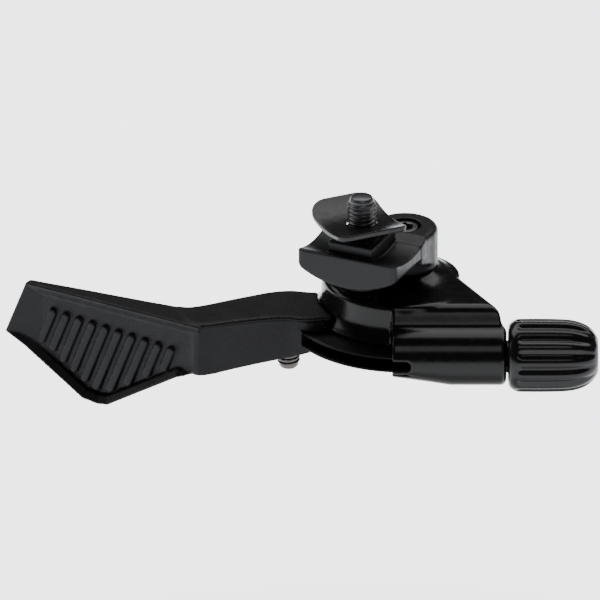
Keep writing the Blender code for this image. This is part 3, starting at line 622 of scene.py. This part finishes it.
def make_thread_tree():
    """Adds a helical thread about Z, fading out at both ends, to the geometry given."""
    tree, given, last = tree_inputs("thread", ("Radius", "Depth", "Pitch", "Start", "End"), ("Rows",))
    value = node_sums(tree)
    around_count = 48
    sheet = tree.nodes.new("GeometryNodeMeshGrid")
    sheet.inputs["Size X"].default_value = 1.0
    sheet.inputs["Size Y"].default_value = 1.0
    sheet.inputs["Vertices X"].default_value = around_count + 1
    tree.links.new(given.outputs["Rows"], sheet.inputs["Vertices Y"])
    spot = tree.nodes.new("GeometryNodeInputPosition")
    split = tree.nodes.new("ShaderNodeSeparateXYZ")
    tree.links.new(spot.outputs[0], split.inputs[0])
    turns = value("ADD", split.outputs["X"], 0.5)
    share = value("ADD", split.outputs["Y"], 0.5)
    length = value("SUBTRACT", given.outputs["End"], given.outputs["Start"])
    along = value("ADD", given.outputs["Start"], value("MULTIPLY", share, length))
    phase = value("FRACT", value("SUBTRACT", value("DIVIDE", along, given.outputs["Pitch"]), turns))
    wave = value("ABSOLUTE", value("SUBTRACT", value("MULTIPLY", phase, 2.0), 1.0))
    flank = value("MINIMUM", value("MAXIMUM", value("MULTIPLY_ADD", wave, 1.45, -0.2), 0.0), 1.0)
    from_start = value("DIVIDE", value("SUBTRACT", along, given.outputs["Start"]), given.outputs["Pitch"])
    from_end = value("DIVIDE", value("SUBTRACT", given.outputs["End"], along), given.outputs["Pitch"])
    fade = value("MINIMUM", value("MINIMUM", from_start, from_end), 1.0)
    root = value("SUBTRACT", given.outputs["Radius"], given.outputs["Depth"])
    height = value("MULTIPLY", given.outputs["Depth"], value("MULTIPLY", flank, fade))
    radius = value("ADD", root, height)
    angle = value("MULTIPLY", turns, math.tau)
    place = tree.nodes.new("ShaderNodeCombineXYZ")
    tree.links.new(value("MULTIPLY", radius, value("COSINE", angle)), place.inputs["X"])
    tree.links.new(value("MULTIPLY", radius, value("SINE", angle)), place.inputs["Y"])
    tree.links.new(along, place.inputs["Z"])
    wrap = tree.nodes.new("GeometryNodeSetPosition")
    tree.links.new(sheet.outputs["Mesh"], wrap.inputs["Geometry"])
    tree.links.new(place.outputs[0], wrap.inputs["Position"])
    seam = tree.nodes.new("GeometryNodeMergeByDistance")
    tree.links.new(wrap.outputs["Geometry"], seam.inputs["Geometry"])
    both = tree.nodes.new("GeometryNodeJoinGeometry")
    tree.links.new(given.outputs["Geometry"], both.inputs[0])
    tree.links.new(seam.outputs["Geometry"], both.inputs[0])
    close_tree(tree, given, last, both.outputs[0])
    return tree


def rows_for(start, end, pitch, rows_a_pitch=10):
    return math.ceil((end - start) / pitch * rows_a_pitch) + 1


thread_tree = make_thread_tree()
plated_steel = surface_finish("plated_steel", (0.07, 0.066, 0.062), 0.28, metallic=1.0, grain=0.00006,
                              grain_height=0.0000015, wave=0.0008, tone=0.08)

set_screw_body = around([(0, 2.15), (1.45, 2.15), (1.62, 1.95), (1.62, -5.1), (1.35, -5.45),
                         (1.18, -5.48), (1.1, -5.4, "hex"), (1.1, -3.6, "hex"), (0, -3.4)])
set_screw_mesh = grow(set_screw_body, thread_tree, plated_steel, Radius=1.9, Depth=0.34, Pitch=0.7,
                      Start=-5.1, End=1.95, Rows=rows_for(-5.1, 1.95, 0.7))
set_screw = new_piece("set_screw", settle_mesh(set_screw_mesh, by_pivot(*SCREW_SPOT)), plated_steel)
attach(set_screw, "lever")
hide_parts("cable_set_screw")


# ------------------------------------------------------------------ adjuster knob
# Moulded black grip over the barrel bolt's head: a scalloped rim by the body,
# then fourteen flutes that fade out over the domed end.
KNOB_FLUTES = 14

moulded_black = surface_finish("moulded_black", (0.003, 0.003, 0.0033), 0.20, grain=0.00025, shine=0.22,
                               grain_height=0.000002, wave=0.0015, wave_height=0.000012)


def make_flute_tree():
    """Presses flutes into a turned grip about Z, between two heights."""
    tree, given, last = tree_inputs("flutes", ("Depth", "Start", "Full", "Fade", "End", "Inner"), ("Count",))
    value = node_sums(tree)
    spot = tree.nodes.new("GeometryNodeInputPosition")
    split = tree.nodes.new("ShaderNodeSeparateXYZ")
    tree.links.new(spot.outputs[0], split.inputs[0])
    x, y, z = split.outputs["X"], split.outputs["Y"], split.outputs["Z"]
    radius = value("SQRT", value("ADD", value("MULTIPLY", x, x), value("MULTIPLY", y, y)))
    wave = value("COSINE", value("MULTIPLY", value("ARCTAN2", y, x), given.outputs["Count"]))
    hollow = value("POWER", value("MULTIPLY_ADD", wave, -0.5, 0.5), 1.6)
    opening = value("DIVIDE", value("SUBTRACT", z, given.outputs["Start"]),
                    value("SUBTRACT", given.outputs["Full"], given.outputs["Start"]))
    closing = value("DIVIDE", value("SUBTRACT", given.outputs["End"], z),
                    value("SUBTRACT", given.outputs["End"], given.outputs["Fade"]))
    reach = value("MAXIMUM", value("MINIMUM", value("MINIMUM", opening, closing), 1.0), 0.0)
    outside = value("GREATER_THAN", radius, given.outputs["Inner"])
    press = value("MULTIPLY", value("MULTIPLY", given.outputs["Depth"], outside), value("MULTIPLY", hollow, reach))
    share = value("SUBTRACT", 1.0, value("DIVIDE", press, value("MAXIMUM", radius, 0.01)))
    place = tree.nodes.new("ShaderNodeCombineXYZ")
    tree.links.new(value("MULTIPLY", x, share), place.inputs["X"])
    tree.links.new(value("MULTIPLY", y, share), place.inputs["Y"])
    tree.links.new(z, place.inputs["Z"])
    move = tree.nodes.new("GeometryNodeSetPosition")
    tree.links.new(given.outputs["Geometry"], move.inputs["Geometry"])
    tree.links.new(place.outputs[0], move.inputs["Position"])
    close_tree(tree, given, last, move.outputs["Geometry"])
    return tree


def rounded(profile, spacing=0.25):
    """The same profile with its corners softened and its long runs divided."""
    for _ in range(2):
        soft = [profile[0]]
        for (r0, z0), (r1, z1) in zip(profile, profile[1:]):
            soft += [(r0 * 0.75 + r1 * 0.25, z0 * 0.75 + z1 * 0.25), (r0 * 0.25 + r1 * 0.75, z0 * 0.25 + z1 * 0.75)]
        profile = soft + [profile[-1]]
    fine = [profile[0]]
    for (r0, z0), (r1, z1) in zip(profile, profile[1:]):
        count = max(1, round(math.hypot(r1 - r0, z1 - z0) / spacing))
        fine += [(r0 + (r1 - r0) * i / count, z0 + (z1 - z0) * i / count) for i in range(1, count + 1)]
    return fine


knob_outside = [(2.35, 32.05), (2.9, 32.1), (4.2, 31.3), (5.2, 30.0), (5.9, 28.0), (6.1, 25.0), (6.1, 19.0),
                (6.0, 18.4), (5.5, 17.5), (5.05, 17.15), (4.6, 17.1)]
knob_turned = around([(2.3, 31.9)] + rounded(knob_outside) + [(4.2, 17.1), (4.2, 29.9), (2.3, 30.4), (2.3, 31.9)],
                     KNOB_FLUTES * 14)
knob_mesh = grow(knob_turned, make_flute_tree(), moulded_black, Depth=0.5, Start=18.2, Full=19.3, Fade=29.0,
                 End=31.9, Inner=3.2, Count=KNOB_FLUTES)
knob = new_piece("adjuster_grip", settle_mesh(knob_mesh, by_pivot(0, CABLE_Y, CABLE_Z), along_x=True, crease=50),
                 moulded_black)
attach(knob, "adjuster")
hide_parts("adjuster_knob")


# ------------------------------------------------------------------ adjuster barrel bolt
# Hollow M6 bolt of blackened steel, fast in the knob, that screws into the body.
# The cable housing ends in its socket, which shows in the knob's end.
black_steel = surface_finish("black_steel", (0.070, 0.070, 0.073), 0.33, metallic=0.75, grain=0.00007,
                             grain_height=0.000002, wave=0.0009, wave_height=0.000004)

barrel_bolt_body = around([(2.3, 29.6), (2.4, 29.7), (3.8, 29.7), (3.9, 29.6), (3.9, 25.3), (3.8, 25.2),
                           (2.5, 25.2), (2.5, 8.3), (2.3, 8.05), (1.0, 8.05), (1.0, 25.8), (2.3, 25.9), (2.3, 29.6)])
barrel_bolt_mesh = grow(barrel_bolt_body, thread_tree, black_steel, Radius=2.9, Depth=0.42, Pitch=1.0,
                        Start=8.3, End=25.1, Rows=rows_for(8.3, 25.1, 1.0))
barrel_bolt = new_piece("barrel_bolt", settle_mesh(barrel_bolt_mesh, by_pivot(0, CABLE_Y, CABLE_Z), along_x=True),
                        black_steel)
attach(barrel_bolt, "adjuster")
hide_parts("adjuster_barrel")


# ------------------------------------------------------------------ clamp screw
# M5 socket screw in black oxide, up through the bracket's key into the plate nut.
# Its chamfered tip and last threads stand out above the nut.
clamp_screw_body = around([(0, 9.7), (1.62, 9.7), (1.75, 9.62), (2.02, 9.1), (2.02, -3.2), (4.0, -3.2), (4.1, -3.3),
                           (4.1, -5.6), (3.7, -6.0), (2.45, -6.0), (2.3, -5.9, "hex"), (2.3, -4.1, "hex"), (0, -3.9)])
clamp_screw_mesh = grow(clamp_screw_body, thread_tree, black_steel, Radius=2.4, Depth=0.4, Pitch=0.8,
                        Start=-3.1, End=9.2, Rows=rows_for(-3.1, 9.2, 0.8))
clamp_screw = new_piece("socket_screw", settle_mesh(clamp_screw_mesh, Vector((0, 0, 0))), black_steel)
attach(clamp_screw, "screw")
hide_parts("clamp_screw")


# ------------------------------------------------------------------ clamp plate nut
# Pressed steel plate bent to the inside of the brake clamp's band, with the
# screw's thread in its middle and a semi-gloss black coat.
NUT_TURN = math.radians(25)
NUT_CENTRE_Z, NUT_INNER, NUT_OUTER = 25.1, 20.0, 20.95

coated_plate = surface_finish("coated_plate", (0.004, 0.004, 0.0044), 0.28, grain=0.00015, shine=0.22,
                              grain_height=0.000003, wave=0.0014, wave_height=0.000012)


def nut_distance(x, y, z):
    """Bent plate with four unlike corners and the screw's hole."""
    bend = np.hypot(y, z - NUT_CENTRE_Z)
    sheet = np.maximum(common(NUT_INNER - bend, bend - NUT_OUTER, 0.3), z - NUT_CENTRE_Z)
    outline = arc(3.0, 0, 90, 6, (2.3, 5.0)) + arc(3.5, 90, 180, 6, (-3.2, 4.5))
    outline += arc(2.0, 180, 270, 4, (-4.7, -5.0)) + arc(1.2, 270, 360, 4, (4.1, -5.8))
    plate = common(sheet, outline_distance(x, y, outline), 0.25)
    return carve(plate, np.hypot(x, y) - 2.55, 0.3)


nut_mesh = cast_mesh("plate_nut", nut_distance, (-6.8, -7.1, 4.0), (5.4, 8.1, 7.0), 0.12, NUT_TURN, Vector((0, 0, 0)))
plate_nut = new_piece("plate_nut", ease_mesh(nut_mesh, 1), coated_plate)
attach(plate_nut, "nut")
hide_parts("clamp_nut")


# ------------------------------------------------------------------ pivot bolt
# Small socket-head bolt of black oxide steel in the bracket's ear. It runs down
# through the body and the hub's sleeve to the slotted nut under the hub.
pivot_bolt_mesh = around([(0, 17.0), (1.3, 17.0, "hex"), (1.3, 17.95, "hex"), (1.45, 18.0), (2.0, 18.0), (2.15, 17.95),
                          (2.2, 17.8), (2.2, 16.8), (1.5, 16.8), (1.5, -3.7), (1.2, -4.0), (0, -4.0)][::-1])
pivot_bolt = new_piece("ear_bolt", settle_mesh(pivot_bolt_mesh, by_pivot()), black_steel)
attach(pivot_bolt, "body")
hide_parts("pivot_bolt")


# ------------------------------------------------------------------ small inner parts
# Washers, bushes, springs, click ring, sleeve and the slotted nut keep their
# plain shapes, in ground or drawn steel, black oxide and black bearing polymer.
ground_steel = surface_finish("ground_steel", (0.32, 0.32, 0.33), 0.33, metallic=1.0, grain=0.00008,
                              grain_height=0.000002, tone=0.08)
black_polymer = surface_finish("black_polymer", (0.020, 0.020, 0.021), 0.55, grain=0.0002,
                               grain_height=0.000004)
inner_parts = {
    ground_steel: ("pivot_axle", "lower_thrust_washer", "upper_thrust_washer", "return_spring", "detent_spring"),
    black_polymer: ("lower_bush", "upper_bush", "detent_ring", "screw_retaining_ring"),
    black_steel: ("pivot_bolt_washer", "pivot_nut", "clamp_screw_washer"),
}
for finish, names in inner_parts.items():
    for name in names:
        node = frame["nodes"][name]
        for i in range(len(node.material_slots)):
            node.material_slots[i].link = "OBJECT"
            node.material_slots[i].material = finish
